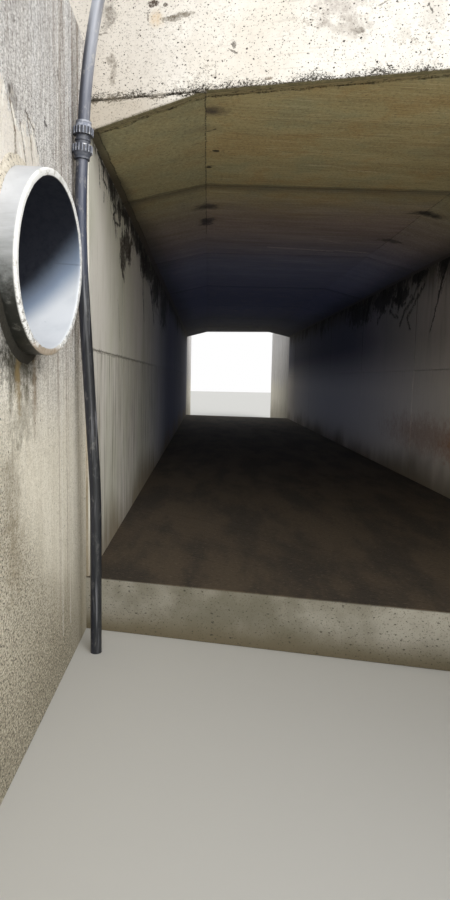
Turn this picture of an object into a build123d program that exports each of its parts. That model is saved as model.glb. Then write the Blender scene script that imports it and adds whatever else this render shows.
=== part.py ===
from build123d import *
import math
import os

os.makedirs("parts", exist_ok=True)

# Concrete box culvert with a skewed headwall at each end, wing walls, an outlet pipe and a riser.
# Millimetres. X runs across the barrel, Y along it away from the near portal, Z up.
# Y is zero where the near portal meets the left wall's inner face. Z is zero under the base.

# Barrel section
span = 3000
clear_height = 2500
wall_t = 300
base_t = 300
roof_t = 300
haunch_w = 600
haunch_h = 150
pour_joint_h = clear_height / 2
pour_joint_depth = 5

# Barrel length
skew_deg = 15
end_bay = 1325
bay = 2500
full_bays = 5
joint_chamfer = 12

# Headwalls
headwall_h = 800
headwall_t = 350
headwall_overhang = 100
top_chamfer = 20
drip_setback = 52
drip_w = 14
drip_depth = 9
drip_stop = 40

# Wing walls
wing_t = 300
wing_recess = 20
wing_top_above_soffit = 310
front_wing_len = 3000
rear_wing_len = 5000

# Outlet pipe in the left wing wall
outlet_r = 315
outlet_wall = 27
outlet_yaw_deg = 7
outlet_fall_deg = 3.8
outlet_y = -1130
outlet_above_floor = 1497
outlet_reach = 110
outlet_back = 60
outlet_rim_chamfer = 9
sleeve_r = 350
sleeve_recess = 10

# Riser pipe and its coupling
riser_r = 28
riser_bore_r = 24.5
riser_y = -306
riser_top_lean_deg = 12.4
riser_top_bend_r = 3270
riser_low_lean_deg = 3.3
riser_low_bend_r = 5000
riser_low_run = 900
riser_top_straight = 20
riser_low_straight = 4
coupling_below_soffit = 298
coupling_tilt_deg = 3
coupling_gap = 46
coupling_body_r = 33
coupling_flange_r = 37
coupling_flange_h = 6
coupling_grip = 26
nut_r = 48
nut_wall_gap = 3.1
nut_h = 33
nut_ribs = 18
nut_rib_r = 3
cone_h = 20
cone_end_r = 34
collar_r = 36
collar_h = 9

# Derived levels and lines
half = span / 2
outer = half + wall_t
floor_z = base_t
soffit_z = floor_z + clear_height
haunch_z = soffit_z - haunch_h
haunch_x = half - haunch_w
drip_end_x = half - drip_stop
drip_end_z = haunch_z + drip_stop * haunch_h / haunch_w
pour_z = floor_z + pour_joint_h
skew_rise = math.tan(math.radians(skew_deg))
skew_cos = math.cos(math.radians(skew_deg))
near_mid_y = -half * skew_rise
barrel_joints = [end_bay + bay * n for n in range(full_bays + 1)]
far_mid_y = barrel_joints[-1] + end_bay - near_mid_y
centre_y = (near_mid_y + far_mid_y) / 2
overrun = half * skew_rise + end_bay + headwall_t

# The two portal faces, each with its normal pointing out of the barrel
near_normal = (-math.sin(math.radians(skew_deg)), -skew_cos, 0)
far_normal = (math.sin(math.radians(skew_deg)), skew_cos, 0)
face_run = (skew_cos, -math.sin(math.radians(skew_deg)), 0)
near_face = Plane(origin=(0, near_mid_y, 0), x_dir=face_run, z_dir=near_normal)
far_face = Plane(origin=(0, far_mid_y, 0), x_dir=(-face_run[0], -face_run[1], 0), z_dir=far_normal)


def near_y(x):
    return near_mid_y - x * skew_rise


def far_y(x):
    return far_mid_y - x * skew_rise


# Stations of the bays, past the portal at both ends so that the portal plane can cut them
stations = [near_mid_y - overrun] + barrel_joints + [far_mid_y + overrun]
bays = list(zip(stations[:-1], stations[1:]))
last_bay = len(bays)

# Base slabs
for number, (y_start, y_end) in enumerate(bays, start=1):
    with BuildPart() as base_slab:
        with BuildSketch(Plane.XY) as slab_plan:
            with Locations((0, (y_start + y_end) / 2)):
                Rectangle(2 * outer, y_end - y_start)
        extrude(amount=base_t)
        if number == 1:
            split(bisect_by=near_face, keep=Keep.BOTTOM)
        if number == last_bay:
            split(bisect_by=far_face, keep=Keep.BOTTOM)
    base_slab.part.label = f"base_slab_{number}"
    export_step(base_slab.part, f"parts/base_slab_{number}.step")

# Walls, cast with the haunch up to soffit level, with a pour joint at mid height
for side, hand in (("left", -1), ("right", 1)):
    for number, (y_start, y_end) in enumerate(bays, start=1):
        with BuildPart() as wall:
            with BuildSketch(Plane.XZ.offset(-y_end)) as wall_section:
                with BuildLine():
                    Polyline(
                        (hand * outer, floor_z),
                        (hand * half, floor_z),
                        (hand * half, haunch_z),
                        (hand * haunch_x, soffit_z),
                        (hand * outer, soffit_z),
                        close=True,
                    )
                make_face()
            extrude(amount=y_end - y_start)
            if number == 1:
                split(bisect_by=near_face, keep=Keep.BOTTOM)
            if number == last_bay:
                split(bisect_by=far_face, keep=Keep.BOTTOM)
            upright = wall.faces().filter_by(Axis.X).sort_by(Axis.X)[0 if hand > 0 else -1]
            haunch = wall.faces().filter_by(lambda f: f.normal_at().Z < -0.5).sort_by(Axis.Z)[-1]
            haunch_ends = haunch.edges().sort_by(Axis.Y)
            chamfer(
                upright.edges().filter_by(Axis.Z) + [haunch_ends[0], haunch_ends[-1]],
                length=joint_chamfer,
            )
            with BuildSketch(Plane.XZ.offset(-y_end)) as pour_groove:
                with Locations((hand * half, pour_z)):
                    Rectangle(2 * pour_joint_depth, 2 * pour_joint_depth, rotation=45)
            extrude(amount=y_end - y_start, mode=Mode.SUBTRACT)
            if number == 1:
                with BuildSketch(near_face.offset(-drip_setback)) as haunch_drip:
                    with BuildLine():
                        Polyline(
                            (hand * haunch_x / skew_cos, soffit_z - drip_depth),
                            (hand * drip_end_x / skew_cos, drip_end_z - drip_depth),
                            (hand * drip_end_x / skew_cos, drip_end_z + drip_depth),
                            (hand * haunch_x / skew_cos, soffit_z + drip_depth),
                            close=True,
                        )
                    make_face()
                extrude(amount=drip_w / 2, both=True, mode=Mode.SUBTRACT)
        wall.part.label = f"{side}_wall_{number}"
        export_step(wall.part, f"parts/{side}_wall_{number}.step")

# Roof slabs, between the two headwalls
near_roof_cut = near_face.offset(-headwall_t)
far_roof_cut = far_face.offset(-headwall_t)
for number, (y_start, y_end) in enumerate(bays, start=1):
    with BuildPart() as roof_slab:
        with BuildSketch(Plane.XY.offset(soffit_z)) as roof_plan:
            with Locations((0, (y_start + y_end) / 2)):
                Rectangle(2 * outer, y_end - y_start)
        extrude(amount=roof_t)
        underside = roof_slab.faces().sort_by(Axis.Z)[0]
        joint_edges = underside.edges().filter_by(Axis.X).sort_by(Axis.Y)
        chamfer(joint_edges, length=joint_chamfer)
        if number == 1:
            split(bisect_by=near_roof_cut, keep=Keep.BOTTOM)
        if number == last_bay:
            split(bisect_by=far_roof_cut, keep=Keep.BOTTOM)
    roof_slab.part.label = f"roof_slab_{number}"
    export_step(roof_slab.part, f"parts/roof_slab_{number}.step")

# Headwalls, each a beam over the portal with an upstand and a drip groove under its edge
headwall_half = outer + headwall_overhang
for end, face, face_y, depth_sign in (("near", near_face, near_y, 1), ("far", far_face, far_y, -1)):
    with BuildPart() as headwall:
        with BuildSketch(Plane.XY.offset(soffit_z)) as headwall_plan:
            with BuildLine():
                set_back = depth_sign * headwall_t / skew_cos
                Polyline(
                    (-headwall_half, face_y(-headwall_half)),
                    (headwall_half, face_y(headwall_half)),
                    (headwall_half, face_y(headwall_half) + set_back),
                    (-headwall_half, face_y(-headwall_half) + set_back),
                    close=True,
                )
            make_face()
        extrude(amount=headwall_h)
        top_face = headwall.faces().sort_by(Axis.Z)[-1]
        chamfer(top_face.edges(), length=top_chamfer)
        front_edges = headwall.faces().sort_by(Axis.Z)[0].edges().filter_by(GeomType.LINE)
        front_edge = front_edges.sort_by_distance(face.origin + Vector(0, 0, soffit_z))[0]
        chamfer(front_edge, length=joint_chamfer)
        with BuildSketch(face.offset(-drip_setback)) as drip_section:
            with Locations((0, soffit_z)):
                Rectangle(2 * haunch_x / skew_cos, 2 * drip_depth)
        extrude(amount=drip_w / 2, both=True, mode=Mode.SUBTRACT)
    headwall.part.label = f"{end}_headwall"
    export_step(headwall.part, f"parts/{end}_headwall.step")

# Outlet pipe axis, turned a little towards the viewer and falling outwards as a drain does
outlet_yaw = math.radians(outlet_yaw_deg)
outlet_fall = math.radians(outlet_fall_deg)
outlet_level = (math.cos(outlet_yaw) * math.cos(outlet_fall), -math.sin(outlet_yaw) * math.cos(outlet_fall))
outlet_dir = (*outlet_level, -math.sin(outlet_fall))
wing_face = half + wing_recess
outlet_point = Vector(-wing_face, outlet_y, floor_z + outlet_above_floor)
outlet_depth = wing_t / outlet_dir[0]
outlet_back_point = outlet_point - Vector(*outlet_dir) * (outlet_depth + outlet_back)
outlet_across = (math.sin(outlet_yaw), math.cos(outlet_yaw), 0)
outlet_plane = Plane(origin=outlet_back_point, x_dir=outlet_across, z_dir=outlet_dir)
outlet_len = outlet_depth + outlet_back + outlet_reach
wing_top = soffit_z + wing_top_above_soffit

# Wing walls, level along the top, two at the near end and two at the far end
for side, hand in (("left", -1), ("right", 1)):
    with BuildPart() as near_wing:
        inner_x = hand * wing_face
        back_x = hand * (wing_face + wing_t)
        tip_y = near_y(inner_x) - front_wing_len
        with BuildSketch(Plane.XY) as near_wing_plan:
            with BuildLine():
                Polyline(
                    (inner_x, near_y(inner_x)),
                    (back_x, near_y(back_x)),
                    (back_x, tip_y),
                    (inner_x, tip_y),
                    close=True,
                )
            make_face()
        extrude(amount=wing_top)
        top_face = near_wing.faces().sort_by(Axis.Z)[-1]
        chamfer(top_face.edges().filter_by(Axis.Y), length=top_chamfer)
        if side == "left":
            with BuildSketch(outlet_plane) as sleeve_section:
                Circle(sleeve_r)
            extrude(amount=outlet_len + sleeve_r, mode=Mode.SUBTRACT)
    near_wing.part.label = f"near_{side}_wing_wall"
    export_step(near_wing.part, f"parts/near_{side}_wing_wall.step")

    with BuildPart() as far_wing:
        inner_x = hand * half
        back_x = hand * (half + wing_t)
        tip_y = far_y(inner_x) + rear_wing_len
        with BuildSketch(Plane.XY) as far_wing_plan:
            with BuildLine():
                Polyline(
                    (inner_x, far_y(inner_x)),
                    (back_x, far_y(back_x)),
                    (back_x, tip_y),
                    (inner_x, tip_y),
                    close=True,
                )
            make_face()
        extrude(amount=wing_top)
        top_face = far_wing.faces().sort_by(Axis.Z)[-1]
        chamfer(top_face.edges().filter_by(Axis.Y), length=top_chamfer)
    far_wing.part.label = f"far_{side}_wing_wall"
    export_step(far_wing.part, f"parts/far_{side}_wing_wall.step")

# Outlet pipe through the left wing wall
with BuildPart() as outlet_pipe:
    with BuildSketch(outlet_plane) as outlet_section:
        Circle(outlet_r)
        Circle(outlet_r - outlet_wall, mode=Mode.SUBTRACT)
    extrude(amount=outlet_len)
    mouth_edges = outlet_pipe.edges().filter_by(GeomType.CIRCLE).sort_by(Axis.X)[-2:]
    chamfer(mouth_edges, length=outlet_rim_chamfer)
outlet_pipe.part.label = "outlet_pipe"
export_step(outlet_pipe.part, "parts/outlet_pipe.step")

# Mortar packed round the pipe in its sleeve, set back from the wall's face
with BuildPart() as outlet_mortar:
    with BuildSketch(outlet_plane) as mortar_section:
        Circle(sleeve_r)
        Circle(outlet_r, mode=Mode.SUBTRACT)
    extrude(amount=outlet_len)
    split(bisect_by=Plane.YZ.offset(-wing_face - sleeve_recess), keep=Keep.BOTTOM)
    split(bisect_by=Plane.YZ.offset(-wing_face - wing_t), keep=Keep.TOP)
outlet_mortar.part.label = "outlet_mortar_ring"
export_step(outlet_mortar.part, "parts/outlet_mortar_ring.step")

# Riser beside the left wing wall, in two lengths that bow a little, joined by a compression coupling
tilt = math.radians(coupling_tilt_deg)
low_lean = math.radians(riser_low_lean_deg)
top_lean = math.radians(riser_top_lean_deg)
coupling_x = -wing_face + nut_r + nut_wall_gap
coupling_mid_z = soffit_z - coupling_below_soffit
coupling_axis = Vector(math.sin(tilt), 0, math.cos(tilt))
coupling_centre = Vector(coupling_x, riser_y, coupling_mid_z)
nut_inner = coupling_gap / 2
coupling_half = nut_inner + nut_h + cone_h + collar_h
pipe_stop = nut_inner / 2


def coupling_plane(along, side=1):
    return Plane(
        origin=coupling_centre + coupling_axis * along,
        x_dir=(coupling_axis.Z, 0, -coupling_axis.X),
        z_dir=coupling_axis * side,
    )


# Lower length: up from the foot, leaning left, then back to the right into the coupling
low_end = coupling_centre - coupling_axis * (coupling_half + riser_low_straight)
low_bend_x = low_end.X + riser_low_bend_r * (math.cos(tilt) - math.cos(low_lean))
low_bend_z = low_end.Z - riser_low_bend_r * (math.sin(tilt) + math.sin(low_lean))
low_run_x = low_bend_x + riser_low_run * math.sin(low_lean)
low_run_z = low_bend_z - riser_low_run * math.cos(low_lean)
foot_x = low_run_x + riser_low_bend_r * (1 - math.cos(low_lean))
foot_z = low_run_z - riser_low_bend_r * math.sin(low_lean)
with BuildPart() as riser_lower:
    with BuildLine() as riser_low_path:
        foot = Line((foot_x, riser_y, 0), (foot_x, riser_y, foot_z))
        foot_bend = TangentArc(foot @ 1, (low_run_x, riser_y, low_run_z), tangent=foot % 1)
        lean = Line(foot_bend @ 1, (low_bend_x, riser_y, low_bend_z))
        low_bend = TangentArc(lean @ 1, low_end, tangent=lean % 1)
        Line(low_bend @ 1, coupling_centre - coupling_axis * pipe_stop)
    with BuildSketch(Plane.XY) as riser_low_section:
        with Locations((foot_x, riser_y)):
            Circle(riser_r)
            Circle(riser_bore_r, mode=Mode.SUBTRACT)
    sweep()
riser_lower.part.label = "riser_lower_pipe"
export_step(riser_lower.part, "parts/riser_lower_pipe.step")

# Upper length, bent to the right so that it leans over the portal
top_start = coupling_centre + coupling_axis * (coupling_half + riser_top_straight)
top_bend_x = top_start.X + riser_top_bend_r * (math.cos(tilt) - math.cos(top_lean))
top_bend_z = top_start.Z + riser_top_bend_r * (math.sin(top_lean) - math.sin(tilt))
riser_top_z = soffit_z + headwall_h
riser_top_x = top_bend_x + (riser_top_z - top_bend_z) * math.tan(top_lean)
with BuildPart() as riser_upper:
    with BuildLine() as riser_top_path:
        straight = Line(coupling_centre + coupling_axis * pipe_stop, top_start)
        TangentArc(straight @ 1, (top_bend_x, riser_y, top_bend_z), tangent=straight % 1)
        Line((top_bend_x, riser_y, top_bend_z), (riser_top_x, riser_y, riser_top_z))
    with BuildSketch(coupling_plane(pipe_stop)) as riser_top_section:
        Circle(riser_r)
        Circle(riser_bore_r, mode=Mode.SUBTRACT)
    sweep()
riser_upper.part.label = "riser_upper_pipe"
export_step(riser_upper.part, "parts/riser_upper_pipe.step")

# Coupling body, a sleeve over both pipe ends with a flange in the middle
with BuildPart() as coupling_body:
    with BuildSketch(coupling_plane(0)) as body_section:
        Circle(coupling_body_r)
    extrude(amount=nut_inner + coupling_grip, both=True)
    with BuildSketch(coupling_plane(0)) as flange_section:
        Circle(coupling_flange_r)
    extrude(amount=coupling_flange_h / 2, both=True)
    with BuildSketch(coupling_plane(0)) as body_bore:
        Circle(riser_r)
    extrude(amount=nut_inner + coupling_grip, both=True, mode=Mode.SUBTRACT)
coupling_body.part.label = "riser_coupling_body"
export_step(coupling_body.part, "parts/riser_coupling_body.step")

# Ribbed nuts, each with a cone and a collar on its outer end
for name, side in (("lower", -1), ("upper", 1)):
    nut_base = coupling_plane(side * nut_inner, side)
    with BuildPart() as nut:
        with BuildSketch(nut_base) as nut_section:
            Circle(nut_r - nut_rib_r)
            with PolarLocations(nut_r - nut_rib_r, nut_ribs):
                Circle(nut_rib_r)
        extrude(amount=nut_h)
        with BuildSketch(nut_base.offset(nut_h)) as cone_start:
            Circle(nut_r - 2 * nut_rib_r)
        with BuildSketch(nut_base.offset(nut_h + cone_h)) as cone_end:
            Circle(cone_end_r)
        loft()
        with BuildSketch(nut_base.offset(nut_h + cone_h)) as collar_section:
            Circle(collar_r)
        extrude(amount=collar_h)
        with BuildSketch(nut_base) as nut_socket:
            Circle(coupling_body_r)
        extrude(amount=coupling_grip, mode=Mode.SUBTRACT)
        with BuildSketch(nut_base) as nut_bore:
            Circle(riser_r)
        extrude(amount=coupling_half - nut_inner, mode=Mode.SUBTRACT)
    nut.part.label = f"riser_coupling_{name}_nut"
    export_step(nut.part, f"parts/riser_coupling_{name}_nut.step")
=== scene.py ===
import math

import bmesh
import bpy
from mathutils import Matrix, Vector, noise


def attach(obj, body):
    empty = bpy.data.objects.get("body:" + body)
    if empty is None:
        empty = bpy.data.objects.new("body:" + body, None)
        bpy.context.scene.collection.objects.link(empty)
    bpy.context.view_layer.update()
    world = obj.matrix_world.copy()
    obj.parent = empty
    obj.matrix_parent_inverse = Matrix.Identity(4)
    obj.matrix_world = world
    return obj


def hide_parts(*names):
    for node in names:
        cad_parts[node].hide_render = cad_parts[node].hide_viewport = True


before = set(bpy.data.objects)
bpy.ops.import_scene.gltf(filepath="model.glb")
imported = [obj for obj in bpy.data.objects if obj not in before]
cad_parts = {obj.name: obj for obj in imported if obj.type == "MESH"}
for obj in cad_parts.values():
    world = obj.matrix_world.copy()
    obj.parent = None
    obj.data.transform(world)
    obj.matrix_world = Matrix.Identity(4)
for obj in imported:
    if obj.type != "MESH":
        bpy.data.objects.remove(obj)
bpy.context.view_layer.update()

scene = bpy.context.scene
scene.view_settings.view_transform = "Standard"

# ----------------------------------------
# The view. A hand-held camera at eye height, in front of the portal and left of its middle,
# looking along the barrel and a little down. The picture is 450 by 900.
camera_place = Vector((-0.865, -3.439, 1.405))
camera_yaw, camera_pitch, camera_roll = 0.0298, -0.1114, 0.0207
focal_pixels, picture_height, sensor_height = 633.2, 900, 36.0
camera_data = bpy.data.cameras.new("camera")
camera_data.sensor_width = sensor_height
camera_data.lens = focal_pixels / picture_height * sensor_height
camera = bpy.data.objects.new("camera", camera_data)
camera.matrix_world = (
    Matrix.Translation(camera_place)
    @ Matrix.Rotation(-camera_yaw, 4, "Z")
    @ Matrix.Rotation(math.pi / 2 + camera_pitch, 4, "X")
    @ Matrix.Rotation(camera_roll, 4, "Z")
)
scene.collection.objects.link(camera)
scene.camera = camera


# ----------------------------------------
# The studio. A plain pale floor level with the underside of the base, an even white sky, one
# broad soft lamp high on the right, and two soft glows from below: one thrown up by the floor into
# the portal, and a faint blue one along the barrel.
class Value:
    """A number, place or colour over a surface. Arithmetic on it makes Math nodes, in the tree that
    its terms are in, once it is used, so that a mask reads as a formula."""

    def __init__(self, socket=None, operation=None, terms=()):
        self.made, self.operation, self.terms = socket, operation, terms

    def socket(self):
        if self.made is None:
            self.made = add("Math", dict(enumerate(self.terms)), operation=self.operation).outputs[0]
        return self.made

    def __add__(self, other):
        if self.operation == "MULTIPLY" and self.made is None:
            return maths("MULTIPLY_ADD", *self.terms, other)
        return maths("ADD", self, other)

    def __sub__(self, other):
        return maths("SUBTRACT", self, other)

    def __rsub__(self, other):
        return maths("SUBTRACT", other, self)

    def __mul__(self, other):
        return maths("MULTIPLY", self, other)

    def __truediv__(self, other):
        return maths("DIVIDE", self, other)

    def __pow__(self, other):
        return maths("POWER", self, other)

    def __abs__(self):
        return maths("ABSOLUTE", self)


def maths(operation, *terms):
    """The result of a Math node that is made once it is used."""
    return Value(None, operation, terms)


def feed(node, feeds):
    """Feeds a node's inputs with values, or sets them to plain numbers."""
    for name, fed in feeds.items():
        if isinstance(fed, Value):
            node.id_data.links.new(fed.socket(), node.inputs[name])
        else:
            node.inputs[name].default_value = fed


def add(kind, feeds, tree=None, **settings):
    """Adds a shader node to the tree that its feeds are in, sets it up and feeds it."""
    tree = tree or next(fed.socket().id_data for fed in feeds.values() if isinstance(fed, Value))
    node = tree.nodes.new("ShaderNode" + kind)
    for name, setting in settings.items():
        setattr(node, name, setting)
    feed(node, feeds)
    return node


def output(kind, feeds, name=0, **settings):
    """One of the outputs of a new node."""
    return Value(add(kind, feeds, **settings).outputs[name])


def paint(chart):
    """A paint-chart colour, 0 to 255, as the linear colour that a shader takes."""
    parts = [c / 255 for c in chart]
    linear = [c / 12.92 if c <= 0.04045 else ((c + 0.055) / 1.055) ** 2.4 for c in parts]
    return (*linear, 1.0)


floor_mesh = bpy.data.meshes.new("studio_floor")
floor_build = bmesh.new()
bmesh.ops.create_grid(floor_build, x_segments=1, y_segments=1, size=60)
bmesh.ops.translate(floor_build, verts=floor_build.verts, vec=(0, 8, -0.002))
floor_build.to_mesh(floor_mesh)
floor_build.free()
studio_floor = bpy.data.objects.new("studio_floor", floor_mesh)
scene.collection.objects.link(studio_floor)
floor_paint = bpy.data.materials.new("studio_floor")
floor_paint.use_nodes = True
floor_shader = floor_paint.node_tree.nodes["Principled BSDF"]
feed(floor_shader, {"Base Color": paint((205, 204, 200)), "Roughness": 0.9})
floor_mesh.materials.append(floor_paint)

sky = bpy.data.worlds.new("studio_sky")
sky.use_nodes = True
scene.world = sky
sky_tree = sky.node_tree
sky_light = sky_tree.nodes["Background"]
feed(sky_light, {"Color": (0.97, 0.985, 1.0, 1.0), "Strength": 0.8})
sky_seen = output("Background", {"Color": (1, 1, 1, 1), "Strength": 1.0}, tree=sky_tree)
ray = add("LightPath", {}, tree=sky_tree).outputs
rays = [Value(ray[f"Is {kind} Ray"]) for kind in ("Camera", "Glossy", "Transmission")]
seen = maths("MAXIMUM", maths("MAXIMUM", rays[0], rays[1]), rays[2])
sky_mix = output("MixShader", {0: seen, 1: Value(sky_light.outputs[0]), 2: sky_seen})
feed(sky_tree.nodes["World Output"], {"Surface": sky_mix})


def new_light(name, kind, energy, colour, comes_from):
    """A lamp that shines from a direction."""
    data = bpy.data.lights.new(name, kind)
    data.energy, data.color = energy, colour
    light = bpy.data.objects.new(name, data)
    light.rotation_mode = "QUATERNION"
    light.rotation_quaternion = Vector(comes_from).to_track_quat("Z", "Y")
    scene.collection.objects.link(light)
    return light


soft_lamp = new_light("soft_lamp", "SUN", 2.3, (1.0, 0.985, 0.955), (0.66, -1.0, 0.56))
soft_lamp.data.angle = math.radians(46)
for name, energy, colour, size, spot in (
    ("floor_glow", 18, (1.0, 0.97, 0.9), (2.4, 1.6), (0.35, -1.75, 0.03)),
    ("barrel_glow", 8, (0.5, 0.62, 1.0), (2.2, 11.0), (0, 8.0, 0.34)),
):
    glow = new_light(name, "AREA", energy, colour, (0, 0, -1))
    glow.data.shape = "RECTANGLE"
    glow.data.size, glow.data.size_y = size
    glow.location = spot
    glow.visible_camera = glow.visible_glossy = False


# ----------------------------------------
# Base slabs. Seven cast slabs that carry the barrel, floated on top and left rough at the ends.
# Water has stood on them and left a dark film on top, and damp edges.
def fade(value, low, high, start=0.0, end=1.0):
    """Takes a value from low..high to start..end, softly, and holds it there outside."""
    feeds = {"Value": value, "From Min": low, "From Max": high, "To Min": start, "To Max": end}
    return output("MapRange", feeds, interpolation_type="SMOOTHSTEP")


def tint(amount, under, over):
    """Mixes two colours. A colour is a value or a paint-chart colour."""
    under, over = [paint(colour) if isinstance(colour, tuple) else colour for colour in (under, over)]
    return output("Mix", {0: amount, 6: under, 7: over}, 2, data_type="RGBA")


def lay(under, over, mask, strength=1.0):
    """Lays a colour over another where a mask says so, at a part of its strength."""
    return tint(mask * strength, under, over)


def coats(colour, *layers):
    """Lays colours over one another: each is its colour, its mask and its strength."""
    for layer in layers:
        colour = lay(colour, *layer)
    return colour


def vector(operation, *terms, **named):
    """One Vector Math node's result."""
    result = "Value" if operation in ("LENGTH", "DOT_PRODUCT") else "Vector"
    return output("VectorMath", {**dict(enumerate(terms)), **named}, result, operation=operation)


def axes(place):
    """The three numbers of a place or a direction."""
    return [Value(part) for part in add("SeparateXYZ", {0: place}).outputs]


def flat_place(first, second):
    """A place on a flat face, from two of the axes."""
    return output("CombineXYZ", {0: first, 1: second})


def grain(place, scale, detail=3.0, rough=0.55, stretch=(1, 1, 1), warp=0.0):
    """Noise on a place in metres, stretched along the axes with small numbers."""
    feeds = {"Vector": vector("MULTIPLY", place, stretch), "Scale": scale, "Detail": detail}
    return output("TexNoise", {**feeds, "Roughness": rough, "Distortion": warp})


def effect(name, takes, *gives):
    """Starts a shader node group and returns it with the values it takes."""
    group = bpy.data.node_groups.new(name, "ShaderNodeTree")
    for label, start in takes.items():
        kind = "NodeSocketVector" if isinstance(start, tuple) else "NodeSocketFloat"
        group.interface.new_socket(label, in_out="INPUT", socket_type=kind).default_value = start
    for label in gives:
        kind = "NodeSocketColor" if label == "Colour" else "NodeSocketFloat"
        group.interface.new_socket(label, in_out="OUTPUT", socket_type=kind)
    group.nodes.new("NodeGroupOutput")
    taken = group.nodes.new("NodeGroupInput").outputs
    return group, *[Value(taken[label]) for label in takes]


def give(group, **results):
    """Ends a node group with what it gives."""
    feed(group.nodes["Group Output"], results)


def use(group, feeds):
    """Places a node group with its own values and returns what it gives."""
    return {given.name: Value(given) for given in add("Group", feeds, node_tree=group).outputs}


# Cement skin: broad mottling, fine sand grain, and the air holes that a shutter leaves.
zero, half, one = (0.0, 0.0, 0.0), (0.5, 0.5, 0.5), (1, 1, 1.0)
cement_skin, place, face, hole_share = effect(
    "cement_skin", {"Place": zero, "Face": zero, "Hole Share": 0.3},
    "Mottle", "Grain", "Holes", "Height",
)
sand = grain(place, 130, 2, 0.65)
air_holes = None
bend = output("TexNoise", {"Vector": face, "Scale": 95.0, "Detail": 1.0}, "Color")
bend = vector("MULTIPLY_ADD", vector("SUBTRACT", bend, half), (0.014, 0.008, 0.0), face)
for cell_scale, widest, least in ((27.0, 0.15, 0.05), (54.0, 0.17, 0.09)):
    cells = add("TexVoronoi", {"Vector": bend, "Scale": cell_scale}, voronoi_dimensions="2D").outputs
    lot = [Value(part) for part in add("SeparateColor", {0: Value(cells["Color"])}).outputs]
    hole_size = lot[0] ** 2.5 * (widest - least) + least
    inside = fade(Value(cells["Distance"]), hole_size, hole_size * 0.55)
    holes = inside * maths("LESS_THAN", lot[1], hole_share)
    air_holes = holes if air_holes is None else maths("MAXIMUM", air_holes, holes)
give(
    cement_skin, Mottle=grain(place, 1.7, 4, 0.62), Grain=sand, Holes=air_holes,
    Height=sand * 0.9 + air_holes * -3.0,
)


def skin_on(place, face, hole_share):
    """The cement skin of a face."""
    return use(cement_skin, {"Place": place, "Face": face, "Hole Share": hole_share})


# Placed stain: a ragged patch round one point, used for single marks.
placed_stain, place, centre, size, ragged, edge, speckle, fray, grit = effect(
    "placed_stain",
    {"Place": zero, "Centre": zero, "Size": one, "Ragged": 0.5, "Edge": 0.5, "Speckle": 0.0,
     "Fray": 0.5, "Grit": 1.0},
    "Mask",
)
away = vector("DIVIDE", vector("SUBTRACT", place, centre), size)
spread = (fray - 0.5) * (ragged * 3.0) + vector("LENGTH", away)
give(placed_stain, Mask=fade(spread, 1.0, 1.0 - edge) * ((grit - 1.0) * speckle + 1.0))

# Drawn line: a crack, a seam or a run between two points of a face, wandering and broken.
drawn_line, face, start, end, width, wander, broken, wobble, breaks = effect(
    "drawn_line",
    {"Face": zero, "Start": zero, "End": (1.0, 0.0, 0.0), "Width": 0.004, "Wander": 0.01,
     "Broken": 0.0, "Wobble": half, "Breaks": 0.5},
    "Mask",
)
reach = vector("SUBTRACT", end, start)
from_start = vector("SUBTRACT", face, start)
down_line, whole = vector("DOT_PRODUCT", from_start, reach), vector("DOT_PRODUCT", reach, reach)
share = output("Math", {0: down_line, 1: whole}, operation="DIVIDE", use_clamp=True)
gap = vector("SUBTRACT", from_start, vector("SCALE", reach, Scale=share))
sway = vector("SCALE", vector("SUBTRACT", wobble, half), Scale=wander * 4.0)
gap = vector("ADD", gap, vector("MULTIPLY", sway, (1, 1, 0)))
off_line = (breaks - 0.5) * (width * 3.2) + vector("LENGTH", gap)
kept = fade(breaks, broken * 0.4 + 0.18, broken * 0.4 + 0.3)
give(drawn_line, Mask=fade(off_line, width, width * 0.35) * kept)


right_through = 9


def on_plane(axis, level, depth, marks):
    """Marks in space from marks on a plane that faces an axis, which have two numbers for a centre
    and two for a size."""
    def in_space(pair, third):
        return (*pair[:axis], third, *pair[axis:])

    return [(in_space(mark[:2], level), in_space(mark[2:4], depth), *mark[4:]) for mark in marks]


def stains(place, colour, marks, speckle=0.0):
    """Lays marks over a colour. Each is its centre, size, frayed share, edge, strength and colour."""
    fray = grain(place, 15, 4, 0.75)
    grit = fade(grain(place, 62, 3, 0.75), 0.44, 0.56)
    for centre, size, ragged, edge, strength, mark_colour in marks:
        feeds = {"Place": place, "Centre": centre, "Size": size, "Ragged": ragged, "Edge": edge,
                 "Speckle": speckle, "Fray": fray, "Grit": grit}
        colour = lay(colour, mark_colour, use(placed_stain, feeds)["Mask"], strength)
    return colour


def lines(face, colour, runs):
    """Draws lines over a colour. Each is points, width, wander, broken share, strength and colour."""
    wobble = output("TexNoise", {"Vector": face, "Scale": 13.0, "Detail": 4.0}, "Color")
    breaks = grain(face, 55, 2, 0.5)
    for points, width, wander, broken, strength, line_colour in runs:
        for start, end in zip(points, points[1:]):
            feeds = {"Face": face, "Start": (*start, 0.0), "End": (*end, 0.0), "Width": width,
                     "Wander": wander, "Broken": broken, "Wobble": wobble, "Breaks": breaks}
            colour = lay(colour, line_colour, use(drawn_line, feeds)["Mask"], strength)
    return colour


millimetre = 0.001


def new_finish(name):
    """Starts a material and returns it with its place in metres."""
    finish = bpy.data.materials.new(name)
    finish.use_nodes = True
    return finish, output("TexCoord", {}, "Object", tree=finish.node_tree)


def close_finish(finish, colour, rough, height):
    """Feeds a material's shader: its colour, its roughness, and a bump's height in millimetres."""
    bump = output("Bump", {"Height": height, "Distance": millimetre, "Strength": 1.0})
    shader = finish.node_tree.nodes["Principled BSDF"]
    feed(shader, {"Base Color": colour, "Roughness": rough, "Normal": bump})


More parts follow.
